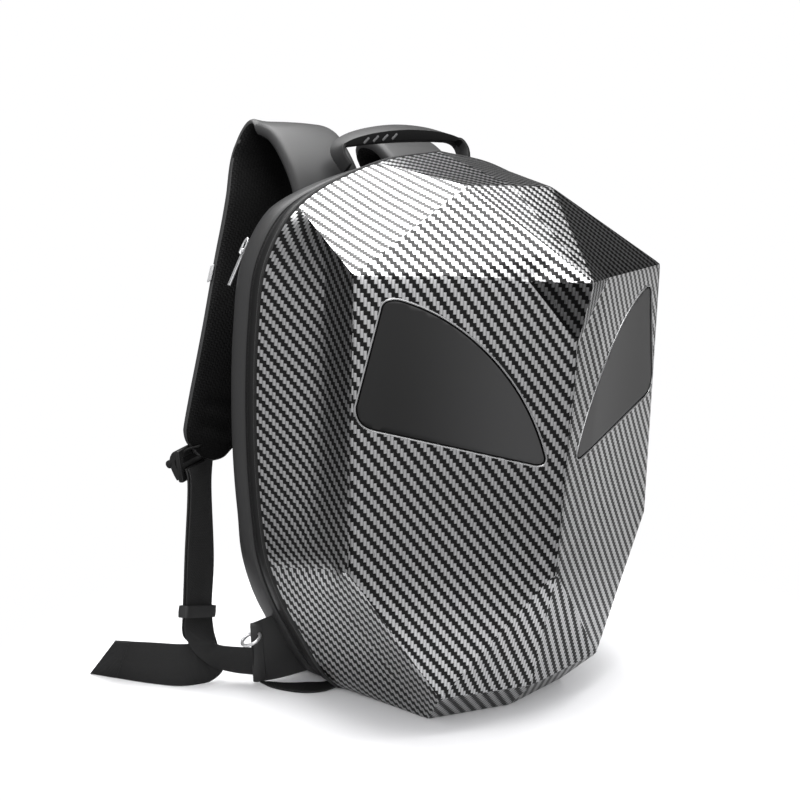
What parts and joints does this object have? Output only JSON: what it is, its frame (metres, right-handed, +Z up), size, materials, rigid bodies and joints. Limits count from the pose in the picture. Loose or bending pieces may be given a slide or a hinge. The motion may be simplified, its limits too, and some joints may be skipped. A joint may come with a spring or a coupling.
{
  "type": "motorcycle backpack",
  "caption": "Hard-front motorcycle backpack: faceted carbon-weave shell on a zipped side wall, with padded back and shoulder straps, webbing and a grab handle.",
  "frame": {"origin": "middle of the flat underside of the shell, on the floor, 42 mm in front of the shell's rim plane", "axes": "+Z up, -Y out of the shell's front, +Y towards the wearer's back, -X to the wearer's left"},
  "size_m": [0.5294, 0.3415, 0.4757],
  "materials": {
    "carbon": "semi-gloss clear coat over a twill carbon weave",
    "panel": "smooth satin",
    "binding": "folded binding tape",
    "satin": "coated cloth with a satin face",
    "zip": "coated zip tape",
    "back": "padded mesh",
    "pad": "padded, coated cloth outside and mesh inside",
    "handle": "moulded, satin",
    "plastic": "moulded",
    "webbing": "flat woven webbing",
    "keeper": "elastic, satin",
    "tag": "reflective tape",
    "metal": "bright plated"
  },
  "bodies": {
    "bag": {"shell": "carbon", "rim_binding": "binding", "front_strip": "satin", "main_zip": "zip", "gusset": "satin", "rear_zip": "zip", "back_panel": "back", "top_handle": "handle", "zip_slider": "metal", "eye_panel_left": "panel", "strap_pad_left": "pad", "strap_tag_left": "tag", "ladder_lock_left": "plastic", "webbing_left": "webbing", "webbing_tail_left": "webbing", "keeper_left": "keeper", "corner_tab_left": "satin", "tab_ring_left": "metal", "base_loop_left": "webbing", "eye_panel_right": "panel", "strap_pad_right": "pad", "strap_tag_right": "tag", "ladder_lock_right": "plastic", "webbing_right": "webbing", "webbing_tail_right": "webbing", "keeper_right": "keeper", "corner_tab_right": "satin", "tab_ring_right": "metal", "base_loop_right": "webbing"},
    "puller": {"zip_puller": "metal"}
  },
  "joints": [
    {"name": "puller_swing", "type": "hinge", "parent": "bag", "child": "puller", "pos_m": [-0.15767, 0.08865, 0.36773], "axis": [0, 1, 0], "range_deg": [0, 150]}
  ]
}
